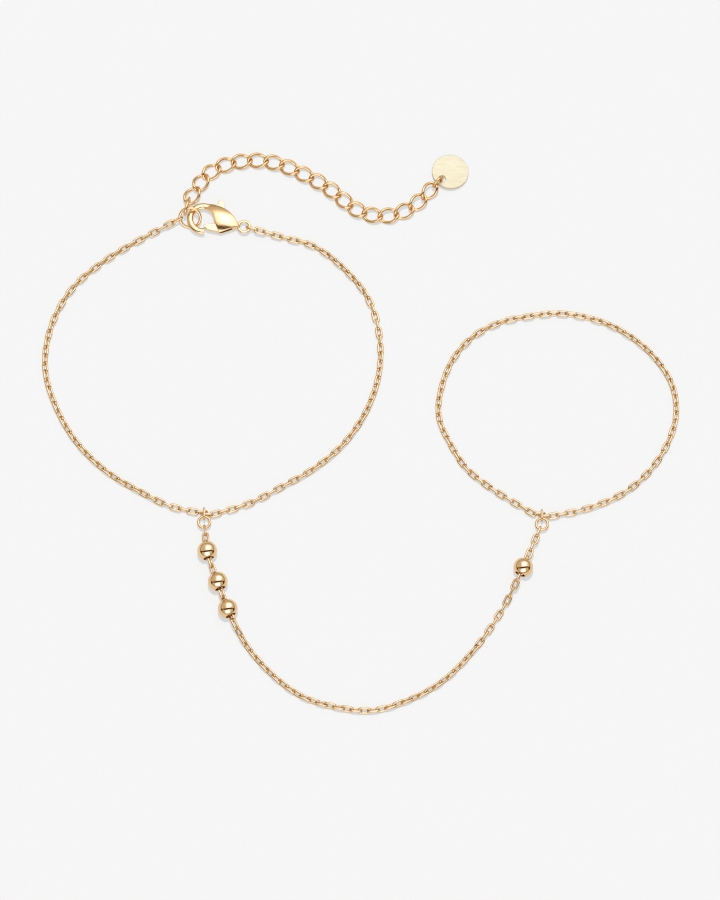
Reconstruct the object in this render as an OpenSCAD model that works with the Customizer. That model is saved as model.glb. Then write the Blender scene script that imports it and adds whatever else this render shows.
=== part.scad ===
// Hand chain bracelet: a wrist loop and a finger loop of fine cable chain, joined by a strand
// with four beads, with a lobster clasp, an extension chain and a round tag.
// It lies on a surface at z = 0, with the middle of its outline above the origin.

/* [Cable chain] */
// Diameter of a cable link's wire
link_wire = 0.31; // [0.26:0.01:0.33]
// Width of a cable link over its wires
link_w = 1.2; // [1.16:0.01:1.3]
// Distance between the centres of two cable links
link_pitch = 1.38; // [1.3:0.01:1.5]

/* [Junction rings] */
// Diameter of a junction ring's wire
joint_wire = 0.35; // [0.3:0.01:0.38]
// Outside diameter of a junction ring
joint_od = 2.3; // [2.1:0.05:2.6]

/* [Beads] */
// Diameter of a bead
bead_d = 3.2; // [3:0.05:3.4]
// Diameter of the drilling through a bead
bead_bore = 1.65; // [1.55:0.05:1.8]

/* [Clasp] */
// Distance from the middle of the hook to the middle of the tail eye
clasp_len = 6.65; // [6.5:0.05:7]
// Radius of the hook's middle line
hook_r = 2.15; // [2.1:0.01:2.2]
// Width of the hook, seen from above
hook_w = 1; // [0.9:0.02:1.04]
// Thickness of the hook
hook_t = 0.8; // [0.76:0.02:0.84]
// Thickness of the body
clasp_t = 2.1; // [2.1:0.02:2.3]
// Outside diameter of the tail eye
eye_od = 2.3; // [2.1:0.05:2.5]
// Width of the tail eye's rim
eye_rim = 0.48; // [0.42:0.01:0.52]
// Thickness of the tail eye
eye_t = 0.36; // [0.3:0.01:0.38]
// Thickness of the lever's plate
lever_t = 0.66; // [0.5:0.02:0.72]
// Diameter of the lever's pin
pin_d = 0.6; // [0.5:0.05:0.7]

/* [End ring] */
// Diameter of the end ring's wire
end_wire = 0.4; // [0.36:0.01:0.42]
// Outside diameter of the end ring
end_od = 3.8; // [3.6:0.05:3.9]
// Lean of the end ring over the hook, in degrees
end_lean = 40; // [38:1:42]

/* [Extension chain] */
// Diameter of an extension link's wire
ext_wire = 0.4; // [0.36:0.01:0.42]
// Width of an extension link over its wires
ext_w = 2.7; // [2.6:0.05:2.9]
// Distance between the centres of two extension links
ext_pitch = 2.58; // [2.5:0.02:2.8]
// Twist of an extension link, from its middle to its end, in degrees
ext_twist = 36; // [34:1:42]

/* [Tag] */
// Diameter of the tag
tag_d = 5.9; // [5.5:0.1:7]
// Thickness of the tag
tag_t = 0.45; // [0.35:0.01:0.5]
// Diameter of the tag's hole
tag_hole = 1.2; // [1.1:0.05:1.3]
// Metal between the tag's hole and its edge
tag_margin = 0.45; // [0.4:0.05:0.5]
// Diameter of the tag ring's wire
tag_wire = 0.4; // [0.34:0.01:0.42]
// Outside diameter of the tag ring
tag_ring_od = 2.5; // [2.4:0.05:2.7]

/* [Hidden] */

gold = [0.89, 0.68, 0.40];
pale_gold = [0.94, 0.83, 0.62];

// Clearance left between two links, and between a link and the ring it hangs on
link_gap = 0.18;
ext_gap = 0.24;
ring_gap = 0.15;
// Height of the lowest chain links above the surface
rest_gap = 0.02;
// Clearance of the lever on its pin, and between its plate and the cheeks of the body
pin_gap = 0.03;
cheek_gap = 0.07;
// Sides that stand for a round wire, for a ring and for a large circle
wire_fn = 32;
ring_fn = 48;
dome_fn = 180;
// Steps of the smooth curve between two route points
route_steps = 8;

link_len = link_pitch + 2 * link_wire + link_gap;
ext_len = ext_pitch + 2 * ext_wire + ext_gap;

// Routes on the surface, in millimetres: places of the rings and of the clasp's hook, then the
// points that each run of chain passes between its two ends
routes = [
    ["wrist_joint", [[-25, -14.3]]],
    ["finger_joint", [[29, -14.6]]],
    ["hook", [[-25.2, 36]]],
    ["tag", [[14.4, 44.2]]],
    ["wrist_left", [[-35.5, 32.5], [-41, 29], [-46, 24.5], [-49.5, 18], [-50.5, 10.5],
                    [-48.5, 3.5], [-45, -2.5], [-40.5, -7], [-35, -10.5], [-30, -13]]],
    ["wrist_right", [[-18, -12.5], [-12.5, -9.5], [-7.5, -6.5], [-2.5, -2], [1, 3.5], [3, 10],
                     [3, 16.5], [1, 23], [-2.5, 27.5], [-7.5, 31.5], [-12.5, 33]]],
    ["hand", [[-24.5, -20.8], [-22.8, -26], [-21.2, -30.6], [-18.5, -36], [-14.5, -41],
              [-9.5, -45], [-3.5, -47], [2, -47.5], [7, -46], [12.5, -43], [17.5, -38],
              [22, -31.5], [26, -23.6], [28, -18.5]]],
    ["finger", [[35.5, -13.5], [43, -10], [49, -2.5], [50.5, 2.5], [50, 7.5], [47.5, 12],
                [44, 15.5], [40, 18], [35.5, 19.5], [31.5, 20], [27, 19.5], [22.5, 18.5],
                [18, 16], [15, 12.5], [13, 7.5], [12.5, 2.5], [14.5, -2.5], [17, -6.5],
                [20.5, -9.5]]],
    ["extension", [[-27, 40], [-24.5, 44], [-19.5, 46], [-14.5, 46], [-9.5, 44], [-4.5, 41],
                   [-0.5, 37.5], [4.5, 36.5], [9, 38.5]]],
];
// Moves the whole layout, so that the middle of its outline is at the origin
layout_shift = [0, 0.3];
function route(name) = [for (r = routes) if (r[0] == name) for (p = r[1]) p + layout_shift];
function place(name) = route(name)[0];

// Which point of the hand route each bead sits on
bead_points = [0, 1, 2, 12];

// Turn of the links about the chain, as shares of each run: 0 and 90 degrees lie flat and on
// edge in turn, 45 degrees lean to both sides
wrist_left_roll = [[0, -42], [0.08, -5], [0.3, 5], [0.55, 40], [0.8, 45], [0.93, 10], [1, 0]];
wrist_right_roll = [[0, 0], [0.15, 5], [0.4, 15], [0.6, 5], [0.8, 0], [1, 0]];
hand_roll = [[0, 0], [0.1, 36], [0.42, 40], [0.5, 5], [0.6, 35], [0.72, 38], [0.88, 0],
             [1, 0]];
extension_roll = [[0, -12], [0.03, -12], [0.09, 0], [0.68, 0], [0.97, 36], [1, 36]];

// Small vector helpers
function unit(v) = v / norm(v);
function dir(a) = [cos(a), sin(a)];
function turn(p, a) = [p[0] * cos(a) - p[1] * sin(a), p[0] * sin(a) + p[1] * cos(a)];
function heading(p, q) = atan2(q[1] - p[1], q[0] - p[0]);
function flat(p) = [p[0], p[1]];
function last(list) = list[len(list) - 1];
function at_z(p, z) = [p[0], p[1], z];

// Unit tangent at each point of a route, from the chords on both sides of it
function tangents(p) = let (n = len(p) - 1) [
    for (i = [0:n])
        i == 0 ? (p[1] - p[0]) / norm(p[1] - p[0])
        : i == n ? (p[n] - p[n - 1]) / norm(p[n] - p[n - 1])
        : let (a = norm(p[i] - p[i - 1]), b = norm(p[i + 1] - p[i]))
          ((p[i] - p[i - 1]) * b / a + (p[i + 1] - p[i]) * a / b) / (a + b)
];
// Smooth curve through the points of a route
function smooth(p) = let (m = tangents(p), n = len(p) - 1) concat([
    for (i = [0:n - 1], k = [0:route_steps - 1])
        let (t = k / route_steps, h = norm(p[i + 1] - p[i]))
        (2 * t ^ 3 - 3 * t ^ 2 + 1) * p[i] + (t ^ 3 - 2 * t ^ 2 + t) * h * m[i]
        + (3 * t ^ 2 - 2 * t ^ 3) * p[i + 1] + (t ^ 3 - t ^ 2) * h * m[i + 1]
], [p[n]]);
// Distance run at each point of a curve
function run_lengths(c) = [for (i = 0, s = 0; i < len(c);
                                i = i + 1, s = i < len(c) ? s + norm(c[i] - c[i - 1]) : s) s];
function total_length(c) = last(run_lengths(c));
// Point at the distance s along a curve, by its table of distances
function along(c, runs, s) = [for (k = [0:len(c[0]) - 1])
    lookup(s, [for (i = [0:len(c) - 1]) [runs[i], c[i][k]]])];

// Height of a cable chain's middle line where it lies on the surface with its links so turned
lying_z = function(roll) rest_gap + link_wire / 2
    + (link_w - link_wire) / 2 * max(abs(sin(roll)), abs(cos(roll)));

// Height at a distance s by a table of distances and heights, with eased slopes between them
function eased(s, rows) = let (
    k = max([for (i = [0:len(rows) - 2]) s >= rows[i][0] ? i : 0]),
    t = min(max((s - rows[k][0]) / (rows[k + 1][0] - rows[k][0]), 0), 1))
    rows[k][1] + (rows[k + 1][1] - rows[k][1]) * t * t * (3 - 2 * t);

// Number of links in a run: even or odd as told, with the pitch nearest to the one asked for
function link_count(total, pitch, odd) = 2 * round((total / pitch - odd) / 2) + odd;

// Joint points of a run of chain that hangs at both ends on the wires at the points q. The
// points between lie at the rest height for their turn, raised by the eased table of lifts.
// A hang is the distance from a ring's wire back to the joint point of the link on it.
function joints(q, hangs, points, pitch, odd, rolls, rest, lifts) =
    let (c = smooth(concat([flat(q[0])], points, [flat(q[1])])),
         runs = run_lengths(c), total = last(runs) + hangs[0] + hangs[1],
         n = link_count(total, pitch, odd), step = total / n,
         inner = [for (i = [1:n - 1])
             let (s = i * step - hangs[0])
             at_z(along(c, runs, s), rest(lookup(i / n, rolls)) + eased(s, lifts))])
    concat([q[0] - unit(inner[0] - q[0]) * hangs[0]], inner,
           [q[1] - unit(last(inner) - q[1]) * hangs[1]]);

// Places its child, drawn along x about the origin, between two points, turned about that line
module between(p, q, roll) {
    d = q - p;
    translate((p + q) / 2)
        rotate([0, -atan2(d[2], norm(flat(d))), atan2(d[1], d[0])])
            rotate([roll, 0, 0]) children();
}

// Cable link: round wire bent into two half rings and two straight sides, lying in the xy plane
module cable_link() {
    bend_r = (link_w - link_wire) / 2;
    side = link_len - link_w;
    for (s = [-1, 1]) {
        translate([s * side / 2, 0, 0]) rotate([0, 0, -90 * s])
            rotate_extrude(angle = 180, $fn = ring_fn)
                translate([bend_r, 0]) circle(d = link_wire, $fn = wire_fn);
        translate([0, s * bend_r, 0]) rotate([0, 90, 0])
            cylinder(d = link_wire, h = side, center = true, $fn = wire_fn);
    }
}

// Run of cable links, flat and on edge in turn, turned further by the table of rolls
module cable_run(points, rolls, first) {
    n = len(points) - 1;
    for (i = [0:n - 1])
        between(points[i], points[i + 1], first + 90 * (i % 2) + lookup((i + 0.5) / n, rolls))
            cable_link();
}

// Round ring of wire about z
module wire_ring(od, wire) {
    rotate_extrude($fn = ring_fn)
        translate([(od - wire) / 2, 0]) circle(d = wire, $fn = wire_fn);
}

// Distance from the wire of a ring back to the joint point of the link that hangs on it
function hang(pitch, length, wire, ring_wire) =
    pitch / 2 - (length / 2 - wire - ring_wire / 2 - ring_gap);

// Junctions: a loop's two end links lie side by side on edge, and a third link stands across
// them, raised by half a link, with its sides through both of them and through the ring
side_z = (link_w - link_wire) / 2;
joint_z = link_w / 2 + side_z;
inner_half = link_len / 2 - link_wire;
joint_ring_y = -(inner_half - joint_wire / 2 - ring_gap);
joint_left_y = inner_half - link_wire / 2 - ring_gap;
joint_right_y = (joint_ring_y + joint_wire / 2 + joint_left_y - link_wire / 2) / 2;
joint_end_x = link_len / 2 - link_wire * 1.5 - link_gap;
joint_r = (joint_od - joint_wire) / 2;
// Height of the wire where the strand hangs on the junction ring, and the ring's lean
joint_drop = 0.1;
strand_end_z = joint_z - joint_drop;
joint_lean = asin((joint_z - strand_end_z) / (2 * joint_r));

// Wire at the outer end of a loop's end link, on the left (-1) or the right (1) of its junction
function loop_end(at, side) = at_z(
    at + [side * (joint_end_x + (link_len - link_wire) / 2),
          side < 0 ? joint_left_y : joint_right_y], link_w / 2);
link_hang = hang(link_pitch, link_len, link_wire, link_wire);
// Middle of a junction's ring, and the point of its wire where the strand hangs
function joint_ring_at(at) = at_z(at + [0, joint_ring_y - joint_r * cos(joint_lean)],
                                  (joint_z + strand_end_z) / 2);
// Point of a junction ring's wire that faces another point
function joint_toward(at, p) = let (c = joint_ring_at(at), a = heading(c, p))
    c + joint_r * [cos(a), sin(a) * cos(joint_lean), sin(a) * sin(joint_lean)];

module junction_links(at) {
    for (side = [-1, 1]) {
        outer = loop_end(at, side);
        translate(outer - [side * (link_len - link_wire) / 2, 0, 0]) rotate([90, 0, 0])
            cable_link();
    }
    translate(at_z(at, joint_z)) rotate([0, 0, 90]) rotate([90, 0, 0]) cable_link();
}
module junction_ring(at) {
    color(gold) translate(joint_ring_at(at)) rotate([joint_lean, 0, 0])
        wire_ring(joint_od, joint_wire);
}

// Clasp: its own frame has the middle of the hook's ring at the origin and the tail along x
clasp_turn = -9;
clasp_z = clasp_t / 2;
hook = place("hook");
function from_clasp(p) = hook + turn(p, clasp_turn);
hook_in = hook_r - hook_w / 2;
hook_out = hook_r + hook_w / 2;
// The hook runs round from the body at the first angle to its tip at the second
hook_from = 48;
hook_to = 283;
// The tail eye's middle, and the line along which the body swells
eye_at = [clasp_len, -0.3];
eye_in_body = 0.4;
swell_at = [clasp_len * 0.41, 0.25];
swell_turn = -14;
// Radius of the body's crown across it and along it
crown_across = 3.9;
crown_along = 8.4;
// Middle and radius of the arc along the body's back
back_r = clasp_len * 0.875;
back_proud = 0.04;
back_at = [clasp_len * 0.106, hook_out + back_proud - back_r];
pivot = [clasp_len * 0.44, -0.37];
// Corners of the body in the hook's opening, which cuts them away
throat = [[0, hook_in - 0.65], [hook_in - 0.45, 0.9], [hook_in - 0.25, 0.6]];
// Corner of the body below the mouth
jaw = [clasp_len * 0.414, -1.95];
jaw_flat = [0.4, 0.02];
// Under side of the body at the tail, its height there, and where it starts to taper
tail_x = eye_at[0] - eye_od / 2 + eye_in_body;
tail_low = -0.62;
tail_high = 0.1;
tail_taper = [0.5, 0.1];
back_end = 0.3;
// Height above which nothing of the body is left
over = hook_out + 0.75;
// Slot for the lever: its sides behind the hook and before the tail, and where it opens below
slot_t = lever_t + 2 * cheek_gap;
slot_left = hook_in + 0.15;
slot_right = pivot[0] + 1.4;
slot_step = 0.5;
slot_mouth = [0.2, 0.75];
slot_low = -hook_out;
slot_slant = -0.6;
pin_fit = 0.01;
pin_inset = 0.06;

// Section of a rim: a flat-sided lens, so many wide and so many thick
module lens(w, t) {
    r = w * 0.7;
    intersection() {
        translate([0, t / 2 - r]) circle(r = r, $fn = dome_fn);
        translate([0, r - t / 2]) circle(r = r, $fn = dome_fn);
        square([w, t + 1], center = true);
    }
}

module clasp_outline() {
    difference() {
        intersection() {
            translate(back_at) circle(r = back_r, $fn = dome_fn);
            polygon(concat([[0, over]], throat, [
                jaw, jaw + jaw_flat, [tail_x, tail_low] - tail_taper, [tail_x, tail_low],
                [tail_x, tail_high], [tail_x - back_end, over]]));
        }
        circle(r = hook_in, $fn = dome_fn);
    }
}

// Solid of revolution that gives the body its crown, lying along x
module crown() {
    rotate([0, 90, 0]) rotate_extrude($fn = dome_fn)
        intersection() {
            translate([crown_across - crown_along, 0]) circle(r = crown_along, $fn = dome_fn);
            translate([0, -crown_along]) square([crown_along, 2 * crown_along]);
        }
}

module clasp_shell() {
    intersection() {
        translate([0, 0, -clasp_t]) linear_extrude(2 * clasp_t) clasp_outline();
        translate(at_z(swell_at, crown_across - clasp_t / 2)) rotate([0, 0, swell_turn]) crown();
        translate(at_z(swell_at, clasp_t / 2 - crown_across)) rotate([0, 0, swell_turn]) crown();
    }
}

// Space for the lever between the two cheeks, open at the mouth, along the jaw and at the back
module lever_slot() {
    translate([0, 0, -slot_t / 2]) linear_extrude(slot_t)
        polygon([[slot_left, over], [slot_left, slot_mouth[1]], slot_mouth,
                 [slot_mouth[0], slot_low], [slot_right + slot_step, slot_low],
                 [slot_right + slot_step, slot_slant], [slot_right, 0], [slot_right, over]]);
}

module clasp_frame() {
    translate(at_z(hook, clasp_z)) rotate([0, 0, clasp_turn]) children();
}

module clasp_body() {
    color(gold) clasp_frame() difference() {
        union() {
            difference() {
                clasp_shell();
                lever_slot();
            }
            rotate([0, 0, hook_from]) rotate_extrude(angle = hook_to - hook_from, $fn = dome_fn)
                translate([hook_r, 0]) lens(hook_w, hook_t);
            translate(eye_at) rotate_extrude($fn = ring_fn)
                translate([(eye_od - eye_rim) / 2, 0]) lens(eye_rim, eye_t);
        }
        translate(pivot) cylinder(d = pin_d + 2 * pin_fit, h = 2 * clasp_t, center = true,
                                  $fn = ring_fn);
    }
}

module clasp_pin() {
    color(gold) clasp_frame() translate(pivot)
        cylinder(d = pin_d, h = clasp_t - 2 * pin_inset, center = true, $fn = ring_fn);
}

// Lever: rim of its hub, thumb nub, clearance inside the hook, and the lines of tongue and arm
hub_rim = 0.45;
nub_r = 0.5;
nub = [pivot[0] - 0.55, hook_out + 0.38];
mouth_gap = 0.12;
tongue_tip = 0.25;
tongue_t = 0.5;
jaw_gap = 0.04;
tongue_root = [[0.5, -0.6], [0, 0], [-0.75, -0.1]];
arm_root = [[-0.72, 0.1], [0.7, 0.2]];

module clasp_lever() {
    hub_r = pin_d / 2 + hub_rim;
    mouth_y = -hook_in + mouth_gap;
    color(gold) clasp_frame() difference() {
        translate([0, 0, -lever_t / 2]) linear_extrude(lever_t) union() {
            translate(pivot) circle(r = hub_r, $fn = ring_fn);
            // Tongue, from the tip of the hook to below the hub
            polygon(concat([[tongue_tip, mouth_y + tongue_t], [tongue_tip, mouth_y],
                            [2 * tongue_tip, mouth_y], [3.4 * tongue_tip, mouth_y - tongue_tip],
                            [pivot[0], jaw[1] + jaw_gap]], [for (p = tongue_root) pivot + p]));
            // Arm up to the thumb nub
            polygon(concat([for (p = arm_root) pivot + p],
                           [nub + [nub_r, 0], nub - [nub_r, 0]]));
            translate(nub) circle(r = nub_r, $fn = ring_fn);
        }
        translate(pivot) cylinder(d = pin_d + 2 * pin_gap, h = 2 * clasp_t, center = true,
                                  $fn = ring_fn);
    }
}

// End ring: hangs on the hook, leaning over it from the surface in front to above it behind
end_r = (end_od - end_wire) / 2;
end_side = 186;
end_at = at_z(from_clasp(hook_r * dir(end_side)), end_r * sin(end_lean) + end_wire / 2);
// Point of the end ring's wire at an angle round it
function end_point(a) = let (p = turn([cos(a), sin(a) * cos(end_lean)] * end_r, clasp_turn))
    end_at + at_z(p, end_r * sin(a) * sin(end_lean));

module end_ring() {
    color(gold) translate(end_at) rotate([0, 0, clasp_turn]) rotate([end_lean, 0, 0])
        wire_ring(end_od, end_wire);
}

// Runs of the wrist loop: from the end ring round to the junction, and on to the clasp's eye.
// Each comes down to the surface, or rises from it, within these distances of its raised end.
wrist_hang_side = 195;
wrist_drop = [5, 6];
clasp_rise = 6;
wrist_left_q = [end_point(wrist_hang_side), loop_end(place("wrist_joint"), -1)];
wrist_left = joints(wrist_left_q, [hang(link_pitch, link_len, link_wire, end_wire), link_hang],
                    route("wrist_left"), link_pitch, 0, wrist_left_roll, lying_z,
                    [[0, wrist_left_q[0][2] - link_w / 2], [wrist_drop[0], 0], [wrist_drop[1], 0]]);

eye_world = from_clasp(eye_at);
eye_way = unit(last(route("wrist_right")) - eye_world);
wrist_right_q = [loop_end(place("wrist_joint"), 1),
                 at_z(eye_world + eye_way * (eye_od - eye_rim) / 2, clasp_z)];
wrist_right_len = total_length(smooth(concat([flat(wrist_right_q[0])], route("wrist_right"),
                                             [flat(wrist_right_q[1])])));
wrist_right = joints(wrist_right_q, [link_hang, hang(link_pitch, link_len, link_wire, eye_rim)],
                     route("wrist_right"), link_pitch, 0, wrist_right_roll, lying_z,
                     [[0, 0], [wrist_right_len - clasp_rise, 0],
                      [wrist_right_len, clasp_z - link_w / 2 - rest_gap]]);

module wrist_chain() {
    color(gold) {
        cable_run(wrist_left, wrist_left_roll, 90);
        cable_run(wrist_right, wrist_right_roll, 0);
        junction_links(place("wrist_joint"));
    }
}

// Strand: from the wrist ring through the beads to the finger ring
hand_points = route("hand");
hand_q = [joint_toward(place("wrist_joint"), hand_points[0]),
          joint_toward(place("finger_joint"), last(hand_points))];
hand_hang = hang(link_pitch, link_len, link_wire, joint_wire);
hand_curve = smooth(concat([flat(hand_q[0])], hand_points, [flat(hand_q[1])]));
hand_runs = run_lengths(hand_curve);
// Distance along the strand of its route's point i
function hand_at(i) = hand_runs[(i + 1) * route_steps];
bead_lift = bead_d / 2 - link_w / 2 - rest_gap;
bead_margin = 0.2;
bead_hold = bead_d / 2 + bead_margin;
slope_len = 5.5;
hand_lifts = [
    [0, strand_end_z - link_w / 2 - rest_gap],
    [hand_at(bead_points[0]) - bead_hold, bead_lift],
    [hand_at(bead_points[2]) + bead_hold, bead_lift],
    [hand_at(bead_points[2]) + bead_hold + slope_len, 0],
    [hand_at(bead_points[3]) - bead_hold - slope_len, 0],
    [hand_at(bead_points[3]) - bead_hold, bead_lift],
    [hand_at(bead_points[3]) + bead_hold, bead_lift],
    [last(hand_runs), strand_end_z - link_w / 2 - rest_gap]];

module hand_chain() {
    color(gold) cable_run(joints(hand_q, [hand_hang, hand_hang], hand_points, link_pitch, 1,
                                 hand_roll, lying_z, hand_lifts), hand_roll, 90);
}

module bead(i) {
    at = hand_points[bead_points[i]];
    k = (bead_points[i] + 1) * route_steps;
    color(gold) translate(at_z(at, bead_d / 2))
        rotate([90, 0, heading(hand_curve[k - 1], hand_curve[k + 1]) + 90])
            rotate_extrude($fn = dome_fn) intersection() {
                circle(d = bead_d, $fn = dome_fn);
                translate([bead_bore / 2, -bead_d / 2]) square([bead_d / 2, bead_d]);
            }
}

// Finger loop: one round tube in the chain's place, between the end links of its junction
tube_sides = 8;
tube_pitch = 2.6;
function tube_end(side) = let (p = loop_end(place("finger_joint"), side))
    flat(p) + [side * (link_wire / 2 + 2 * link_gap), 0];

module finger_chain() {
    c = smooth(concat([tube_end(1)], route("finger"), [tube_end(-1)]));
    runs = run_lengths(c);
    n = round(last(runs) / tube_pitch);
    middle = [for (i = [0:n]) along(c, runs, last(runs) * i / n)];
    points = [for (i = [0:n])
        let (a = heading(middle[max(i - 1, 0)], middle[min(i + 1, n)]) + 90)
        for (k = [0:tube_sides - 1])
            let (b = 360 * k / tube_sides)
            at_z(middle[i] + dir(a) * cos(b) * link_w / 2, link_w / 2 * (1 + sin(b)))];
    faces = concat(
        [[for (k = [0:tube_sides - 1]) k]],
        [[for (k = [tube_sides - 1:-1:0]) n * tube_sides + k]],
        [for (i = [0:n - 1], k = [0:tube_sides - 1])
            let (a = i * tube_sides, b = a + tube_sides, next = (k + 1) % tube_sides)
            [a + k, b + k, b + next, a + next]]);
    color(gold) polyhedron(points, faces);
}

// Extension chain: oval links twisted from end to end, which lie flat as they interlock
ext_rings = 16;
ext_sides = 6;
// Point of an extension link's middle line at an angle round it
function oval_point(a, twist) =
    let (x = (ext_len - ext_wire) / 2, y = (ext_w - ext_wire) / 2, t = -twist * cos(a))
    [x * cos(a), y * sin(a) * cos(t), y * sin(a) * sin(t)];

module oval_link(twist) {
    points = [for (i = [0:ext_rings - 1])
        let (a = 360 * i / ext_rings, c = oval_point(a, twist),
             along = unit(oval_point(a + 5, twist) - oval_point(a - 5, twist)),
             up = unit(cross(c, along)), out = cross(along, up))
        for (k = [0:ext_sides - 1])
            let (b = 360 * k / ext_sides)
            c + ext_wire / 2 * (out * cos(b) + up * sin(b))];
    faces = [for (i = [0:ext_rings - 1], k = [0:ext_sides - 1])
        let (a = i * ext_sides, b = ((i + 1) % ext_rings) * ext_sides, next = (k + 1) % ext_sides)
        each [[a + k, a + next, b + next], [a + k, b + next, b + k]]];
    polyhedron(points, faces);
}

// Height of an extension link's middle where it lies on the surface, turned by so much
ext_lying_z = function(roll) rest_gap + ext_wire / 2 + max([for (a = [0:10:180])
    let (p = oval_point(a, ext_twist)) abs(p[1] * sin(roll) + p[2] * cos(roll))]);

// Tag: it rests on its far edge and on the ring that runs under its near edge
tag_turn = 45;
tag_r = (tag_ring_od - tag_wire) / 2;
tag_ring_z = tag_ring_od / 2;
tag_over = 0.3;
hole_r = tag_d / 2 - tag_margin - tag_hole / 2;
hole_z = tag_over + tag_t;
tag_lean = asin((hole_z - tag_t / 2 - rest_gap) / (hole_r + tag_d / 2));
tag_at = place("tag");
hole_at = tag_at - dir(tag_turn) * hole_r * cos(tag_lean);
tag_ring_at = hole_at - dir(tag_turn) * sqrt(tag_r ^ 2 - (tag_ring_z - hole_z) ^ 2);

module tag_ring() {
    color(gold) translate(at_z(tag_ring_at, tag_ring_z))
        rotate([90, 0, tag_turn]) wire_ring(tag_ring_od, tag_wire);
}
module tag() {
    color(pale_gold) translate(at_z(hole_at, hole_z)) rotate([0, tag_lean, tag_turn])
        difference() {
            translate([hole_r, 0, 0])
                cylinder(d = tag_d, h = tag_t, center = true, $fn = dome_fn);
            cylinder(d = tag_hole, h = 3 * tag_t, center = true, $fn = ring_fn);
        }
}

// Plain link between the end ring and the extension: it stands on edge and slopes down from the
// back of the ring, which passes high in its front end
ring_link_side = 118;
ring_link_q = end_point(ring_link_side);
ring_link_way = unit([0.25, 1]);
ring_link_slope = 26;
ring_link_slack = 0.25;
// Where round the link the end ring passes, and where the extension hangs
ring_link_in_at = 35;
ring_link_out_at = 177;
ring_link_dir = at_z(-ring_link_way * cos(ring_link_slope), sin(ring_link_slope));
ring_link_up = at_z(ring_link_way * sin(ring_link_slope), cos(ring_link_slope));
ext_a = (ext_len - ext_wire) / 2;
ext_b = (ext_w - ext_wire) / 2;
ring_link_in = ext_wire / 2 + end_wire / 2 + ring_gap;
ring_link_at = ring_link_q - ring_link_dir * (ext_a - ring_link_in) * cos(ring_link_in_at)
                           - ring_link_up * (ext_b - ring_link_in) * sin(ring_link_in_at);
// Where the first link of the extension hangs on it, and where the last one hangs on the tag ring
ext_q = [ring_link_at + ring_link_dir * ext_a * cos(ring_link_out_at)
                      + ring_link_up * ext_b * sin(ring_link_out_at),
         at_z(tag_ring_at - dir(tag_turn) * tag_r, tag_ring_z)];
ext_hangs = [hang(ext_pitch, ext_len, ext_wire, ext_wire) + ring_link_slack,
             hang(ext_pitch, ext_len, ext_wire, tag_wire)];
ext_points = route("extension");
ext_total = total_length(smooth(concat([flat(ext_q[0])], ext_points, [flat(ext_q[1])])));

// The extension's small height above its rest, and where it starts to rise to the tag ring
ext_float = [0.01, 0.02];
ext_rise = 6;

module ring_link() {
    color(gold) between(ring_link_at - ring_link_dir, ring_link_at + ring_link_dir, 90)
        oval_link(0);
}

module extension_chain() {
    points = joints(ext_q, ext_hangs, ext_points, ext_pitch, 0, extension_roll, ext_lying_z,
                    [[0, ext_q[0][2] - ext_lying_z(0)], [2 * ext_pitch, ext_float[0]],
                     [ext_total - ext_rise, ext_float[1]],
                     [ext_total, tag_ring_z - ext_lying_z(ext_twist)]]);
    n = len(points) - 1;
    color(gold) for (i = [0:n - 1])
        between(points[i], points[i + 1], lookup((i + 0.5) / n, extension_roll))
            oval_link(ext_twist);
}

wrist_chain();
junction_ring(place("wrist_joint"));  // wrist_ring
hand_chain();
bead(0);  // bead_1
bead(1);  // bead_2
bead(2);  // bead_3
bead(3);  // bead_4
junction_ring(place("finger_joint"));  // finger_ring
color(gold) junction_links(place("finger_joint"));  // finger_end_links
finger_chain();
end_ring();
ring_link();
extension_chain();
tag_ring();
tag();
clasp_body();
clasp_pin();
clasp_lever();
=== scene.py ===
# %% [markdown]
# # A hand chain bracelet in polished gold plate
# A fine chain goes round the wrist, a second one round a finger, and a strand with four beads joins
# them over the back of the hand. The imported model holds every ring, bead and link as a solid, apart
# from the finger loop, which is a tube there. This lesson puts a smoother twin in the place of each
# solid and real links in the place of the tube. Then it spends its care on metal and light, because
# polished gold is mostly what it mirrors.

# %% Load the frame
import math

import bmesh
import bpy
import numpy as np
from mathutils import Matrix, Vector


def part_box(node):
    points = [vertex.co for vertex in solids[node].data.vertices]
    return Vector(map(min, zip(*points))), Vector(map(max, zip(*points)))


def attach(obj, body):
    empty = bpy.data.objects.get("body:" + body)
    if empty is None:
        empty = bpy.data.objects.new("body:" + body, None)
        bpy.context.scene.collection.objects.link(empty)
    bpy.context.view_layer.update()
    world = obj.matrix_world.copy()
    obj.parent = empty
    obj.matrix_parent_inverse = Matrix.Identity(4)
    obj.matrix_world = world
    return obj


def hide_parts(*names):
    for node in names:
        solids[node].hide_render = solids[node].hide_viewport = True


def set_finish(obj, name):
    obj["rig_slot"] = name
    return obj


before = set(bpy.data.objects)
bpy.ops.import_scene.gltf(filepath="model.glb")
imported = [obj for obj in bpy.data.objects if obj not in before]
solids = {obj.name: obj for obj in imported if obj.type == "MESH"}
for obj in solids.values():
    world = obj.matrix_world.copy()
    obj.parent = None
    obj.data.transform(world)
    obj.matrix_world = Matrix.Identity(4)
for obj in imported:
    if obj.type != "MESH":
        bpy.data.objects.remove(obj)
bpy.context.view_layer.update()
MM = 0.001

# %% [markdown]
# ## The camera
# The photograph looks down on the piece from steeply above and from far away, so lines hardly
# converge. A long lens at 70 degrees of elevation gives the same view. One pixel of the picture is
# 0.16 mm on the table, which fixes the lens once the distance is chosen.

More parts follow.
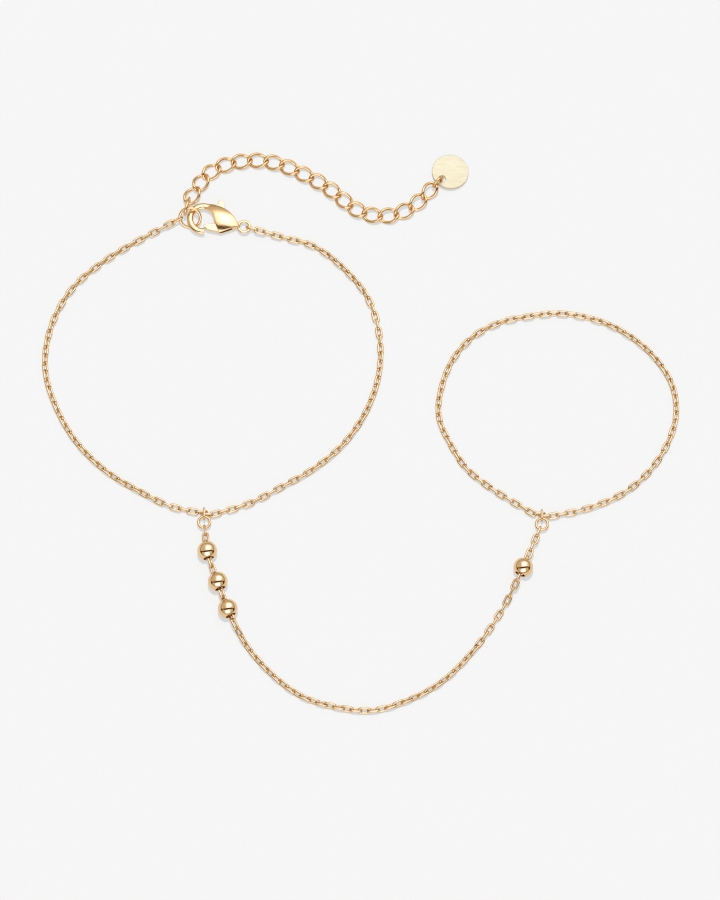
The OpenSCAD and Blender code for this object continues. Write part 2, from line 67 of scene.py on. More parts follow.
# %% Camera
PICTURE_PIXELS, PIXEL = 900, 0.16
PICTURE_HEIGHT = PICTURE_PIXELS * PIXEL * MM
SENSOR = 36
DISTANCE = 5.0
ELEVATION = math.radians(70)
AIM = np.array([-0.08, -2.77, 0.0]) * MM
camera_data = bpy.data.cameras.new("camera")
camera_data.sensor_width = SENSOR
camera_data.lens = SENSOR * DISTANCE / PICTURE_HEIGHT
camera_data.clip_start, camera_data.clip_end = 0.1, 100
camera = bpy.data.objects.new("camera", camera_data)
camera.location = AIM + DISTANCE * np.array([0, -math.cos(ELEVATION), math.sin(ELEVATION)])
camera.rotation_euler = (math.pi / 2 - ELEVATION, 0, 0)
bpy.context.scene.collection.objects.link(camera)
bpy.context.scene.camera = camera
print("lens:", round(camera_data.lens), "mm")

# %% [markdown]
# ## Wire, swept round a loop
# Every link is a piece of wire bent into a closed loop. A curve with a round bevel would do, but
# writing the rings of points ourselves lets one helper make hundreds of links as one clean mesh.
# Each loop is given as its middle line with two directions across the wire at every point.

# %% Sweep a wire round a closed line
def wire_loop(middle, out, up, wire, sides):
    """Points of a closed wire: a ring of so many sides round each point of its middle line."""
    turn = np.linspace(0, 2 * math.pi, sides, endpoint=False)[None, :, None]
    return middle[:, None] + wire / 2 * (out[:, None] * np.cos(turn) + up[:, None] * np.sin(turn))


def loop_faces(rings, sides):
    """The four-sided faces between the rings of a closed wire."""
    ring = np.arange(rings)[:, None] * sides
    after = (np.arange(rings)[:, None] + 1) % rings * sides
    side = np.arange(sides)[None, :]
    beside = (side + 1) % sides
    return np.stack([ring + side, ring + beside, after + beside, after + side], axis=-1)


def links_object(name, loops):
    """One smooth mesh object from many closed wires, which all have as many rings and sides."""
    rings, sides = loops[0].shape[:2]
    points = np.concatenate([loop.reshape(-1, 3) for loop in loops])
    faces = loop_faces(rings, sides).reshape(-1, 4)
    faces = np.concatenate([faces + k * rings * sides for k in range(len(loops))])
    mesh = bpy.data.meshes.new(name)
    mesh.from_pydata(points.tolist(), [], faces.tolist())
    mesh.shade_smooth()
    piece = bpy.data.objects.new(name, mesh)
    bpy.context.scene.collection.objects.link(piece)
    print(name, ":", len(loops), "links,", 2 * len(faces), "triangles")
    return piece


def unit(v):
    return v / np.linalg.norm(v, axis=-1, keepdims=True)


def eased(share):
    """A share from 0 to 1 that starts and ends softly."""
    return share * share * (3 - 2 * share)


# %% [markdown]
# ## The cable link
# A cable link is round wire bent into two half rings with straight sides between them. The model's
# wire is a little thin, so that a simulation finds clear gaps between the links. The photograph's
# wire is fuller, so it is fuller here too, inside the same outer size. That closes the gaps, and
# each link presses a hundredth of a millimetre or two into the next, which a close view shows as
# touching. The bends get twelve steps each, enough for a smooth reflection.

# %% One cable link, lying flat along x
MODEL_WIRE, LINK_WIDTH, LINK_PITCH, LINK_GAP = 0.31 * MM, 1.2 * MM, 1.38 * MM, 0.18 * MM
LINK_LENGTH = LINK_PITCH + 2 * MODEL_WIRE + LINK_GAP
LINK_WIRE = 0.39 * MM
BEND_STEPS, WIRE_SIDES = 12, 16
bend_radius = (LINK_WIDTH - LINK_WIRE) / 2
side_length = LINK_LENGTH - LINK_WIDTH
bend = np.radians(np.linspace(-90, 90, BEND_STEPS + 1))
half = np.stack([np.cos(bend), np.sin(bend), 0 * bend], axis=-1)
link_out = np.concatenate([half, -half])
link_middle = bend_radius * link_out
link_middle[:, 0] += side_length / 2 * np.repeat([1, -1], len(half))
link_up = np.tile([0.0, 0, 1], (len(link_middle), 1))
cable_link = wire_loop(link_middle, link_out, link_up, LINK_WIRE, WIRE_SIDES)
print("cable link:", np.round(np.ptp(cable_link.reshape(-1, 3), axis=0) / MM, 2), "mm")


def set_between(loop, p, q, roll):
    """A link's points, moved from the x axis to lie between two points and turned about them."""
    along = unit(q - p)
    level = unit(np.array([-along[1], along[0], 0]))
    rise = np.cross(along, level)
    turned = [along, level * math.cos(roll) + rise * math.sin(roll),
              rise * math.cos(roll) - level * math.sin(roll)]
    return (p + q) / 2 + loop @ np.array(turned)


# %% [markdown]
# ## The finger loop
# In the model this loop is a plain tube, because hundreds of tiny loose solids would slow a
# simulation down. Here it gets its real links. They follow the same route over the table, and turn
# a quarter for each next link. The route passes through round points, and a smooth curve joins them.

# %% The route of the finger loop
FINGER_ROUTE = np.array([
    [35.5, -13.2], [43, -9.7], [49, -2.2], [50.5, 2.8], [50, 7.8], [47.5, 12.3], [44, 15.8],
    [40, 18.3], [35.5, 19.8], [31.5, 20.3], [27, 19.8], [22.5, 18.8], [18, 16.3], [15, 12.8],
    [13, 7.8], [12.5, 2.8], [14.5, -2.2], [17, -6.2], [20.5, -9.2]]) * MM


def smooth_route(points, steps=8):
    """A smooth curve through the points of a route, each stretch cut in so many steps."""
    before, after = points[1:-1] - points[:-2], points[2:] - points[1:-1]
    a, b = (np.linalg.norm(v, axis=1)[:, None] for v in (before, after))
    inner = (before * b / a + after * a / b) / (a + b)
    ends = [unit(points[1] - points[0]), unit(points[-1] - points[-2])]
    slope = np.concatenate([ends[:1], inner, ends[1:]])
    t = (np.arange(steps) / steps)[None, :, None]
    p, q, m, n = (v[:, None] for v in (points[:-1], points[1:], slope[:-1], slope[1:]))
    h = np.linalg.norm(q - p, axis=-1, keepdims=True)
    curve = ((2 * t**3 - 3 * t**2 + 1) * p + (t**3 - 2 * t**2 + t) * h * m
             + (3 * t**2 - 2 * t**3) * q + (t**3 - t**2) * h * n)
    return np.concatenate([curve.reshape(-1, points.shape[1]), points[-1:]])


def mesh_points(mesh):
    """The points of a mesh, one row each."""
    points = np.empty(len(mesh.vertices) * 3, np.float32)
    mesh.vertices.foreach_get("co", points)
    return points.reshape(-1, 3).astype(float)


SAME_POINT = 0.001 * MM


def loose_solids(node):
    """The points of each separate solid in a node of the model."""
    mesh = solids[node].data
    points = mesh_points(mesh)
    edges = np.empty(len(mesh.edges) * 2, np.int32)
    mesh.edges.foreach_get("vertices", edges)
    edges = edges.reshape(-1, 2)
    keys = np.round(points / SAME_POINT).astype(np.int64)
    group = np.unique(keys, axis=0, return_inverse=True)[1].ravel()
    label = np.arange(group.max() + 1)
    pairs = group[edges]
    while True:
        low = label[pairs].min(axis=1)
        new = label.copy()
        np.minimum.at(new, pairs[:, 0], low)
        np.minimum.at(new, pairs[:, 1], low)
        new = new[new]
        if (new == label).all():
            break
        label = new
    owner = label[group]
    return [points[owner == k] for k in np.unique(owner)]


end_links = sorted(loose_solids("finger_end_links"), key=lambda p: p[:, 0].mean())
print("end links of the finger loop:", len(end_links))

# %% [markdown]
# A chain never lies quite untwisted, so the loop's links also lean over slowly along it. The table
# gives that lean in degrees for each share of the loop's length. The first and the last link hang on
# the wire of the model's two end links, so the row of links starts and ends a little inside them.
# The number of links is odd, so that the first and the last lie the same way in those two.

# %% Hang the finger loop's links between its two end links
def outer_wire(points, side):
    """The middle of the wire at the outer end of a link that stands on edge along x."""
    low, high = points.min(axis=0), points.max(axis=0)
    x = high[0] - MODEL_WIRE / 2 if side > 0 else low[0] + MODEL_WIRE / 2
    return np.array([x, (low[1] + high[1]) / 2, (low[2] + high[2]) / 2])


FINGER_LEAN = np.array([
    [0, 0], [0.06, 36], [0.12, 28], [0.18, 26], [0.26, 44], [0.36, 42], [0.46, 24], [0.56, 14],
    [0.64, 10], [0.72, 34], [0.80, 44], [0.88, 34], [0.94, 24], [1, 0]])
RING_GAP, TABLE_GAP = 0.15 * MM, 0.02 * MM
REST_HEIGHT = TABLE_GAP + LINK_WIDTH / 2
first_wire, last_wire = outer_wire(end_links[-1], 1), outer_wire(end_links[0], -1)
link_hang = LINK_PITCH / 2 - (LINK_LENGTH / 2 - MODEL_WIRE * 1.5 - RING_GAP)
curve = smooth_route(np.concatenate([[first_wire[:2]], FINGER_ROUTE, [last_wire[:2]]]))
run = np.concatenate([[0], np.cumsum(np.linalg.norm(np.diff(curve, axis=0), axis=1))])
length = run[-1] + 2 * link_hang
count = 2 * round((length / LINK_PITCH - 1) / 2) + 1
stations = np.arange(1, count) * length / count - link_hang
joints = np.stack([np.interp(stations, run, curve[:, 0]), np.interp(stations, run, curve[:, 1]),
                   np.full(count - 1, REST_HEIGHT)], axis=-1)
start = first_wire - unit(joints[0] - first_wire) * link_hang
end = last_wire - unit(joints[-1] - last_wire) * link_hang
joints = np.concatenate([[start], joints, [end]])
lean = np.interp((np.arange(count) + 0.5) / count, *FINGER_LEAN.T)
finger_loops = [set_between(cable_link, joints[i], joints[i + 1], math.radians(90 * (i % 2) + lean[i]))
                for i in range(count)]
finger_links = links_object("finger_links", finger_loops)
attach(finger_links, "bracelet")
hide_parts("finger_chain")
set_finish(finger_links, "chain")
print("pitch of the finger loop:", round(length / count / MM, 3), "mm")

# %% [markdown]
# ## Smooth twins in the places of the model's links
# Every other link gets a smooth twin in its place. The place is measured from the model itself: the
# middle of the link's points, and the long and the wide direction in which they spread. The
# extension is curb chain: each oval link is twisted, so that it lies flat in the next. Its wire is
# fuller than the model's too, and presses about a twentieth of a millimetre into the next link. The
# four rings between the chains are round, and get their twins in the same way.

# %% The oval link
EXT_MODEL_WIRE, EXT_WIDTH, EXT_PITCH, EXT_GAP = 0.4 * MM, 2.7 * MM, 2.58 * MM, 0.24 * MM
EXT_LENGTH = EXT_PITCH + 2 * EXT_MODEL_WIRE + EXT_GAP
EXT_WIRE = 0.5 * MM
EXT_TWIST = math.radians(36)


def oval_line(angle, twist):
    """The middle line of a twisted oval link at angles round it."""
    x, y = (EXT_LENGTH - EXT_WIRE) / 2, (EXT_WIDTH - EXT_WIRE) / 2
    t = -twist * np.cos(angle)
    return np.stack([x * np.cos(angle), y * np.sin(angle) * np.cos(t),
                     y * np.sin(angle) * np.sin(t)], axis=-1)


def oval_link(twist, rings=40, sides=16, nearby=0.02):
    """A twisted oval link. Its wire runs from each point towards the ones nearby."""
    angle = np.linspace(0, 2 * math.pi, rings, endpoint=False)
    middle = oval_line(angle, twist)
    along = unit(oval_line(angle + nearby, twist) - oval_line(angle - nearby, twist))
    up = unit(np.cross(middle, along))
    return wire_loop(middle, np.cross(along, up), up, EXT_WIRE, sides)


# %% The round rings, each with its outer size and its wire in millimetres
RING_SIZES = {"wrist_ring": (2.3, 0.42), "finger_ring": (2.3, 0.42), "end_ring": (3.8, 0.48),
              "tag_ring": (2.5, 0.46)}


def round_ring(across, wire, steps=72, sides=20):
    """A ring of round wire that lies flat, from its outer size and its wire in millimetres."""
    turn = np.linspace(0, 2 * math.pi, steps, endpoint=False)[:, None]
    out = np.cos(turn) * [1, 0, 0] + np.sin(turn) * [0, 1, 0]
    up = np.tile([0.0, 0, 1], (steps, 1))
    return wire_loop((across - wire) / 2 * MM * out, out, up, wire * MM, sides)


print("oval link of the extension:", round(EXT_LENGTH / MM, 2), "mm long, rings:", len(RING_SIZES))

# %% [markdown]
# A real chain is never laid out with every second link bolt upright. The links lean over to one
# side or the other, and that is what makes a fine chain look full. So each link of the wrist loop
# and of the strand over the hand is turned a little further about its own length. The tables give
# how much further, in degrees, for each direction from the middle of the chain. Beside the rings
# and the clasp, which hold the chain, the links stay as they are.

# %% Lean the links over
WRIST_TURN = np.array([
    [-180, 8], [-150, 10], [-135, 5], [-122, 16], [-112, 20], [-90, 0], [-72, 5], [-58, 20],
    [-48, 33], [-36, 31], [-22, 26], [-10, 34], [5, 35], [12, 16], [19, -6], [26, 10], [33, 28],
    [48, 27], [56, 8], [66, 0], [110, 0], [120, 12], [140, 9], [155, 10], [170, 12], [180, 8]])
HAND_TURN = np.array([
    [-180, 14], [-122, 16], [-110, 22], [-97, 33], [-84, 36], [-71, 28], [-58, 22], [-45, 22],
    [-14, 20], [-6, 10], [1, -6], [7, -6], [13, 0], [146, 10], [180, 14]])
HELD_BY = ("clasp_body", "end_ring", "wrist_ring", "finger_ring")
HELD_LENGTH, EASED_LENGTH = 2 * MM, 8 * MM
holders = [np.array(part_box(node)) for node in HELD_BY]
print("most that a link is turned:", max(WRIST_TURN[:, 1].max(), HAND_TURN[:, 1].max()), "degrees")


def freedom(centre):
    """0 beside the nodes that hold the chain, and 1 further off, where its links can lean."""
    away = min(np.linalg.norm(np.maximum(0, np.maximum(low - centre, centre - high)))
               for low, high in holders)
    return eased(min(1, max(0, (away - HELD_LENGTH) / EASED_LENGTH)))


def leaned(centre, long, wide, middle, turns):
    """A link's two directions, turned further about its length by what the table says."""
    outward = centre - middle
    if np.cross(outward, long)[2] < 0:
        long = -long
    level = unit(np.array([-long[1], long[0], 0]))
    rise = np.cross(long, level)
    way = math.degrees(math.atan2(outward[1], outward[0]))
    further = math.radians(np.interp(way, *turns.T)) * freedom(centre)
    roll = math.atan2(wide @ rise, wide @ level) + further
    return long, level * math.cos(roll) + rise * math.sin(roll)


# %% Put a twin in the place of each link
def place_of(points):
    """A link's middle, and the long and the wide direction in which its points spread."""
    centre = np.unique(np.round(points / SAME_POINT), axis=0).mean(axis=0) * SAME_POINT
    spread = np.linalg.eigh(np.cov((points - centre).T))[1].T
    return centre, spread[2], spread[1]


def smooth_twins(name, node, link, slot, turns=None):
    """A smooth link, given lying along x, in the place of each link of a node."""
    places = [place_of(points) for points in loose_solids(node)]
    middle = np.mean([place[0] for place in places], axis=0)
    twins = []
    for centre, long, wide in places:
        if turns is not None:
            long, wide = leaned(centre, long, wide, middle, turns)
        twins.append(centre + link @ np.array([long, wide, np.cross(long, wide)]))
    piece = links_object(name, twins)
    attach(piece, "bracelet")
    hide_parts(node)
    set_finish(piece, slot)
    return piece


linked = [finger_links,
          smooth_twins("wrist_links", "wrist_chain", cable_link, "chain", WRIST_TURN),
          smooth_twins("hand_links", "hand_chain", cable_link, "chain", HAND_TURN),
          smooth_twins("junction_links", "finger_end_links", cable_link, "chain"),
          smooth_twins("extension_links", "extension_chain", oval_link(EXT_TWIST), "extension"),
          smooth_twins("plain_link", "ring_link", oval_link(0), "extension")]
linked += [smooth_twins("bent_" + node, node, round_ring(*size), "rings")
           for node, size in RING_SIZES.items()]

# %% [markdown]
# ## The clasp, as a polished casting
# The model's clasp has crisp edges where its surfaces meet. A real one is cast and tumbled until
# every edge is soft, and soft edges are what catch the light. So a copy of each of its two visible
# parts is remeshed into small even squares and smoothed, which rounds the edges and leaves the
# shape where it is. The work is done in millimetres, because the remesh has a smallest step. A
# maker files the rivet's ends off until they can't be seen. Here a smooth surface is fitted to the
# metal in a ring round each end, and the end is moved onto it. The sizes of that ring and of the
# blend at its inner edge are in radii of the rivet. The tag is stamped from sheet, and its rim gets
# softer in the same way as the castings.

# %% File the rivet's ends flush
RIVET_PROUD = 1.05
FIT_INNER, FIT_OUTER = 1.5, 2.7
BLEND_OUTER, BLEND_WIDTH = 1.8, 0.5
END_SHARE = 0.6


def filed(points, rivet):
    """Points of a casting, with those over both ends of its rivet moved to the surface around."""
    low, high = rivet.min(axis=0), rivet.max(axis=0)
    centre, radius = (low + high) / 2, (high[0] - low[0]) / 2
    x, y = (points[:, :2] - centre[:2]).T / radius
    away = np.hypot(x, y)
    terms = np.stack([np.ones_like(x), x, y, x * x, x * y, y * y], axis=-1)
    share = eased(np.clip((BLEND_OUTER - away) / BLEND_WIDTH, 0, 1))
    for end in (-1, 1):
        face = (points[:, 2] - centre[2]) * end > END_SHARE * (high[2] - centre[2])
        around = face & (away > FIT_INNER) & (away < FIT_OUTER)
        fit = np.linalg.lstsq(terms[around], points[around, 2], rcond=None)[0]
        miss = terms @ fit - points[:, 2]
        print("rivet end filed by", round(float(np.abs(miss[face & (away < 1)]).max()), 3), "mm")
        points[:, 2] += np.where(face, share * miss, 0)
    return points


# %% Soften the solids of the clasp and the tag
MERGED, SMOOTHING = 0.0005 * MM, 0.5


def tumbled(name, node, grain, rounds, slot, body="bracelet", rivet=None):
    """A rounded twin of a node: remeshed at a grain in millimetres, then smoothed so many times."""
    mesh = bpy.data.meshes.new(name)
    piece = bpy.data.objects.new(name, mesh)
    bpy.context.scene.collection.objects.link(piece)
    bm = bmesh.new()
    bm.from_mesh(solids[node].data)
    if rivet:
        bm.from_mesh(solids[rivet].data)
        ends = bm.verts[len(solids[node].data.vertices):]
        middle = sum(v.co.z for v in ends) / len(ends)
        for v in ends:
            v.co.z = middle + (v.co.z - middle) * RIVET_PROUD
        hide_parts(rivet)
    bmesh.ops.remove_doubles(bm, verts=bm.verts, dist=MERGED)
    bmesh.ops.scale(bm, vec=(1 / MM,) * 3, verts=bm.verts)
    bm.to_mesh(mesh)
    bm.free()
    remesh = piece.modifiers.new("grain", "REMESH")
    remesh.mode, remesh.voxel_size, remesh.use_smooth_shade = "VOXEL", grain, True
    soften = piece.modifiers.new("tumble", "SMOOTH")
    soften.factor, soften.iterations = SMOOTHING, rounds
    made = bpy.data.meshes.new_from_object(
        piece.evaluated_get(bpy.context.evaluated_depsgraph_get()))
    piece.modifiers.clear()
    piece.data = made
    made.name = name
    if rivet:
        points = filed(mesh_points(made), mesh_points(solids[rivet].data) / MM)
        made.vertices.foreach_set("co", points.ravel())
    made.transform(Matrix.Scale(MM, 4))
    made.materials.clear()
    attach(piece, body)
    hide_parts(node)
    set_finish(piece, slot)
    print(name, ":", len(made.polygons), "faces")
    return piece


softened = [
    tumbled("clasp_casting", "clasp_body", grain=0.05, rounds=14, slot="clasp", rivet="clasp_pin"),
    tumbled("lever_casting", "clasp_lever", grain=0.04, rounds=26, slot="clasp", body="lever"),
    tumbled("pressed_tag", "tag", grain=0.04, rounds=3, slot="tag")]

# %% [markdown]
# ## Beads, turned on a lathe
# A bead is a ball with a hole drilled through it, and the rim of the hole is rolled over so that it
# doesn't cut the chain. Spinning one profile round an axis is how a lathe makes it. The profile
# rolls over the rim, follows the ball to the other rim and comes back through the bore. The place
# is measured from the model's bead, whose points spread least evenly along the bore.

# %% Spin the beads
BORE, ROLLED = 1.65 * MM, 0.09 * MM


def bead_profile(radius, steps=40, rim_steps=8):
    """A bead's outline beside its axis: distance from the axis, and distance along it."""
    centre = BORE / 2 + ROLLED
    up = math.sqrt((radius - ROLLED)**2 - centre**2)
    tilt = math.atan2(up, centre)
    roll = np.linspace(math.pi, tilt, rim_steps)
    rim = np.stack([centre + ROLLED * np.cos(roll), up + ROLLED * np.sin(roll)], axis=-1)
    round_it = np.linspace(tilt, -tilt, steps)[1:-1]
    ball = radius * np.stack([np.cos(round_it), np.sin(round_it)], axis=-1)
    return np.concatenate([rim, ball, (rim * [1, -1])[::-1]])


def turned_bead(name, node, steps=72):
    """A bead spun from its profile, in the place of the model's bead."""
    points = loose_solids(node)[0]
    low, high = points.min(axis=0), points.max(axis=0)
    centre, radius = (low + high) / 2, (high[2] - low[2]) / 2
    spread, ways = np.linalg.eigh(np.cov((points - centre).T))
    bore_way = ways.T[0 if spread[1] - spread[0] > spread[2] - spread[1] else 2]
    across = unit(np.cross([0, 0, 1], bore_way))
    third = np.cross(bore_way, across)
    profile = bead_profile(radius)[None]
    spin = np.linspace(0, 2 * math.pi, steps, endpoint=False)[:, None, None]
    around = across * np.cos(spin) + third * np.sin(spin)
    piece = links_object(name, [centre + profile[..., :1] * around + profile[..., 1:] * bore_way])
    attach(piece, "bracelet")
    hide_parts(node)
    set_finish(piece, "beads")
    return piece


beads = [turned_bead("turned_" + node, node) for node in sorted(solids) if "bead" in node]

# %% [markdown]
# ## Gold plate, polished
# Polished gold has almost no colour of its own beyond the tint it gives to what it mirrors, so the
# shader is a metal with a warm base colour. Real plate isn't a perfect mirror. Faint noise moves
# its roughness and its tone, and a very shallow bump bends the reflections a little, as polishing
# by hand does.

# %% Helpers for materials
NOISE_LOW, NOISE_HIGH = 0.3, 0.7
BROADER = 4
# A Mix node has the same names on several sockets, so its colour ones are found by number
MIX_SHARE, MIX_FIRST, MIX_SECOND, MIX_COLOUR = 0, 6, 7, 2


def new_finish(name):
    """A new material with its node tree and its shader."""
    finish = bpy.data.materials.new(name)
    finish.use_nodes = True
    tree = finish.node_tree
    return finish, tree, tree.nodes["Principled BSDF"]


def add_node(tree, kind, inputs=(), **settings):
    """A new node with its settings, and with values or links put into its inputs."""
    node = tree.nodes.new(kind)
    for key, value in settings.items():
        setattr(node, key, value)
    for key, value in dict(inputs).items():
        if isinstance(value, bpy.types.NodeSocket):
            tree.links.new(value, node.inputs[key])
        else:
            node.inputs[key].default_value = value
    return node


def noise(tree, scale, detail=2, vector=None):
    """Noise over the surface, with so many waves to a metre."""
    where = vector or add_node(tree, "ShaderNodeTexCoord").outputs["Object"]
    return add_node(tree, "ShaderNodeTexNoise",
                    {"Vector": where, "Scale": scale, "Detail": detail}).outputs["Fac"]


def spread_to(tree, value, low, high):
    """Brings a noise, which stays mostly in its middle, to a range of its own."""
    return add_node(tree, "ShaderNodeMapRange",
                    {"Value": value, "From Min": NOISE_LOW, "From Max": NOISE_HIGH,
                     "To Min": low, "To Max": high}).outputs["Result"]


def blend_tones(tree, value, first, second):
    """A mix of two colours, each of them a fixed one or the output of another node."""
    first, second = (c if isinstance(c, bpy.types.NodeSocket) else (*c, 1) for c in (first, second))
    return add_node(tree, "ShaderNodeMix",
                    {MIX_SHARE: value, MIX_FIRST: first, MIX_SECOND: second},
                    data_type="RGBA").outputs[MIX_COLOUR]


def plated(name, light, deep, rough, waves, bump):
    """Polished gold plate: two tones, a range of roughness, and its waves' size and depth in mm."""
    finish, tree, shader = new_finish(name)
    shader.inputs["Metallic"].default_value = 1
    fine = noise(tree, 1 / (waves * MM), detail=3)
    broad = noise(tree, 1 / (BROADER * waves * MM))
    tree.links.new(blend_tones(tree, broad, light, deep), shader.inputs["Base Color"])
    tree.links.new(spread_to(tree, fine, *rough), shader.inputs["Roughness"])
    hills = add_node(tree, "ShaderNodeBump",
                     {"Height": fine, "Distance": bump * MM, "Strength": 1})
    tree.links.new(hills.outputs["Normal"], shader.inputs["Normal"])
    return finish


# %% Gold for chain, rings, beads and clasp
chain_gold = plated("chain_gold", (0.82, 0.57, 0.31), (0.67, 0.44, 0.20), (0.03, 0.07), 0.5, 0.003)
ring_gold = plated("ring_gold", (0.84, 0.54, 0.25), (0.74, 0.44, 0.17), (0.04, 0.09), 0.6, 0.003)
bead_gold = plated("bead_gold", (0.87, 0.61, 0.34), (0.81, 0.54, 0.27), (0.05, 0.1), 1.2, 0.003)
clasp_gold = plated("clasp_gold", (0.86, 0.58, 0.29), (0.79, 0.50, 0.22), (0.13, 0.2), 1.5, 0.006)
print("gold finishes:", [m.name for m in bpy.data.materials if m.name.endswith("_gold")])

# %% [markdown]
# ## The tag's brushed gold
# The tag is stamped from sheet and looks paler and softer than the rest, because its face is
# brushed. Fine scratches run one way across it. A noise that is stretched along one direction makes
# them, and they move both the roughness and a shallow bump.

# %% Brushed pale gold
ALONG_HAIRS, ACROSS_HAIRS, HAIR_DEPTH, CLOUDS = 600, 16000, 0.004 * MM, 500


def brushed(name, light, deep, rough, angle):
    """Brushed gold: two tones, a range of roughness, and the way of its scratches."""
    finish, tree, shader = new_finish(name)
    shader.inputs["Metallic"].default_value = 1
    where = add_node(tree, "ShaderNodeTexCoord").outputs["Object"]
    stretched = add_node(tree, "ShaderNodeMapping",
                         {"Vector": where, "Rotation": (0, 0, -angle),
                          "Scale": (ALONG_HAIRS, ACROSS_HAIRS, ALONG_HAIRS)}).outputs["Vector"]
    hairs = noise(tree, 1, vector=stretched)
    cloud = noise(tree, CLOUDS, vector=where)
    tree.links.new(blend_tones(tree, cloud, light, deep), shader.inputs["Base Color"])
    tree.links.new(spread_to(tree, hairs, *rough), shader.inputs["Roughness"])
    hills = add_node(tree, "ShaderNodeBump", {"Height": hairs, "Distance": HAIR_DEPTH})
    tree.links.new(hills.outputs["Normal"], shader.inputs["Normal"])
    return finish


tag_gold = brushed("tag_gold", (0.71, 0.54, 0.31), (0.61, 0.46, 0.25), (0.38, 0.5),
                   math.radians(45))
print("brushed finish:", tag_gold.name)

# %% Put each finish on its pieces
FINISHES = {"chain": chain_gold, "rings": ring_gold, "beads": bead_gold, "clasp": clasp_gold,
            "extension": ring_gold, "tag": tag_gold}
# The model's own solids get the same finishes as the twins that stand for them
for solid in solids.values():
    for place in solid.material_slots:
        place.material = FINISHES[place.material.name]
for piece in linked + softened + beads:
    piece.data.materials.append(FINISHES[piece["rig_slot"]])
print("pieces with a finish:", len(linked + softened + beads))

# %% [markdown]
# ## Table and light
# Jewellery is photographed in a white tent with two big soft lights and a narrow dark gap between
# them for the lens. The gap is what draws the thin dark line across each bead. The table is pale
# paper that glows a little, so that its shadows stay as light as in the tent.

# %% The table
TABLE_HALF = 9
PAPER, PAPER_GLOW = (0.0594, 0.0578, 0.0552), 0.633
PAPER_ROUGH, PAPER_SHEEN = 0.9, 0.1
corners = [(x * TABLE_HALF, y * TABLE_HALF, 0) for x, y in ((-1, -1), (1, -1), (1, 1), (-1, 1))]
table_mesh = bpy.data.meshes.new("table")
table_mesh.from_pydata(corners, [], [(0, 1, 2, 3)])
table = bpy.data.objects.new("table", table_mesh)
bpy.context.scene.collection.objects.link(table)
paper, _, paper_shader = new_finish("pale_paper")
paper_shader.inputs["Roughness"].default_value = PAPER_ROUGH
paper_shader.inputs["Specular IOR Level"].default_value = PAPER_SHEEN
paper_shader.inputs["Base Color"].default_value = (*PAPER, 1)
paper_shader.inputs["Emission Color"].default_value = (1, 1, 1, 1)
paper_shader.inputs["Emission Strength"].default_value = PAPER_GLOW
table_mesh.materials.append(paper)
print("table:", 2 * TABLE_HALF, "m wide, glow", PAPER_GLOW)

# %% [markdown]
# One lamp above the table gives the chain its thin shadow. It is hidden from mirrored rays, because
# the metal mirrors the tent's softboxes instead.

# %% The shadow lamp
LAMP_POWER, LAMP_SPREAD, LAMP_TILT = 12.3, math.radians(5), math.radians(-7)
lamp = bpy.data.lights.new("shadow_lamp", "SUN")
lamp.energy, lamp.angle = LAMP_POWER, LAMP_SPREAD
lamp_object = bpy.data.objects.new("shadow_lamp", lamp)
lamp_object.rotation_euler = (LAMP_TILT, 0, 0)
lamp_object.visible_glossy = False
bpy.context.scene.collection.objects.link(lamp_object)
print("shadow lamp:", LAMP_POWER)

# %% [markdown]
# ## The light tent
# The tent is painted into the world by direction, so each bead mirrors the same lights wherever it
# lies. Height is an angle that runs from the horizon on the lens's side, over the top, to the
# horizon at the back. The softboxes are patches between two heights, and the gaps are dark ones.
# The light of the softboxes is a little cool and that of the gaps warm. So the gold turns pale where
# it mirrors a box and deep brown where it mirrors a gap, as real plate does.

# %% Helpers for the tent
def math_node(tree, operation, *values):
    return add_node(tree, "ShaderNodeMath", enumerate(values), operation=operation).outputs[0]


def within(tree, value, low, high, blur):
    """1 where the value lies between two edges and 0 outside, with blurred edges."""
    rise, fall = (add_node(tree, "ShaderNodeMapRange",
                           {"Value": value, "From Min": edge - blur, "From Max": edge + blur},
                           interpolation_type="SMOOTHSTEP").outputs["Result"]
                  for edge in (low, high))
    return math_node(tree, "SUBTRACT", rise, fall)


# %% [markdown]
# Each patch below has its lowest and its highest point in degrees, its reach to both sides, and how
# blurred its edges are in height and to the sides. The back box stands a little to the right, and
# the whole tent is tilted a little to one side.

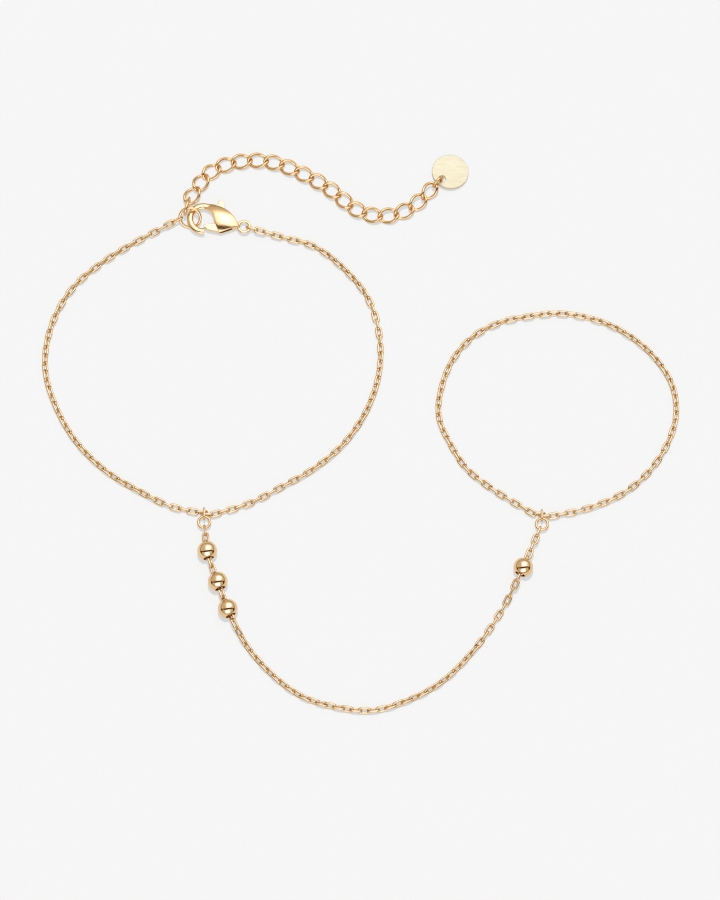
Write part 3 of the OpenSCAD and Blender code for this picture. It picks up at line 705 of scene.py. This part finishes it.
# %% Paint the tent
WALLS, SOFTBOX, DARK = 0.7, 2.45, 0.05
WALL_TONE, DAYLIGHT, LAMPLIGHT = (1, 0.97, 0.92), (0.75, 1.01, 1.52), (1.0, 0.54, 0.22)
BACK_BOX = (80, 138, 0.42, 16, 0.3)
FRONT_BOX = (14, 56, 0.4, 6, 0.2)
LENS_GAP = (60, 78, 0.9, 3, 0.04)
SIDE_GAPS = (-10, 76, 0.88, 5, 0.04)
BOX_SHIFT, TENT_TILT = 0.2, 0.17
HORIZON, HORIZON_BLUR, DIM = 0.26, 0.1, 0.6
tent = bpy.data.worlds.new("light_tent")
tent.use_nodes = True
bpy.context.scene.world = tent
tree = tent.node_tree
ray = add_node(tree, "ShaderNodeSeparateXYZ",
               {0: add_node(tree, "ShaderNodeTexCoord").outputs["Generated"]})
height = math_node(tree, "ARCTAN2", ray.outputs["Z"],
                   math_node(tree, "MULTIPLY", ray.outputs["Y"], -1.0))
height = math_node(tree, "MULTIPLY_ADD", ray.outputs["X"], -TENT_TILT, height)


def patch(low, high, side, blur, side_blur, shift=0):
    """A patch of the tent between two heights in degrees, and its width to both sides as masks."""
    tall = within(tree, height, math.radians(low), math.radians(high), math.radians(blur))
    return tall, within(tree, ray.outputs["X"], shift - side, shift + side, side_blur)


def times(first, second):
    return math_node(tree, "MULTIPLY", first, second)


def darkened(light, mask, left):
    """The light, brought down to a share of it where the mask is 1."""
    return times(light, math_node(tree, "MULTIPLY_ADD", mask, left - 1, 1.0))


boxes = math_node(tree, "ADD", times(*patch(*BACK_BOX, BOX_SHIFT)), times(*patch(*FRONT_BOX)))
light = math_node(tree, "MULTIPLY_ADD", boxes, SOFTBOX - WALLS, WALLS)
tall, middle = patch(*SIDE_GAPS)
gaps = math_node(tree, "MAXIMUM", times(*patch(*LENS_GAP)),
                 times(tall, math_node(tree, "SUBTRACT", 1.0, middle)))
light = darkened(light, gaps, DARK)
light = darkened(light, within(tree, ray.outputs["Z"], -1, HORIZON, HORIZON_BLUR), DIM)
backdrop = tree.nodes["Background"]
tone = blend_tones(tree, times(boxes, boxes), WALL_TONE, DAYLIGHT)
tone = blend_tones(tree, gaps, tone, LAMPLIGHT)
tree.links.new(tone, backdrop.inputs["Color"])
tree.links.new(light, backdrop.inputs["Strength"])
print("tent: walls", WALLS, "softboxes", SOFTBOX)

# %% [markdown]
# Links mirror links that mirror links, so light may bounce from metal to metal more often than
# usual. The pixels are a little sharper than usual, for the fine wire.

# %% How the picture is taken
GLOSSY_BOUNCES, PIXEL_WIDTH = 8, 1.25
bpy.context.scene.view_settings.view_transform = "Standard"
bpy.context.scene.cycles.glossy_bounces = GLOSSY_BOUNCES
bpy.context.scene.cycles.filter_width = PIXEL_WIDTH
print("view:", bpy.context.scene.view_settings.view_transform)
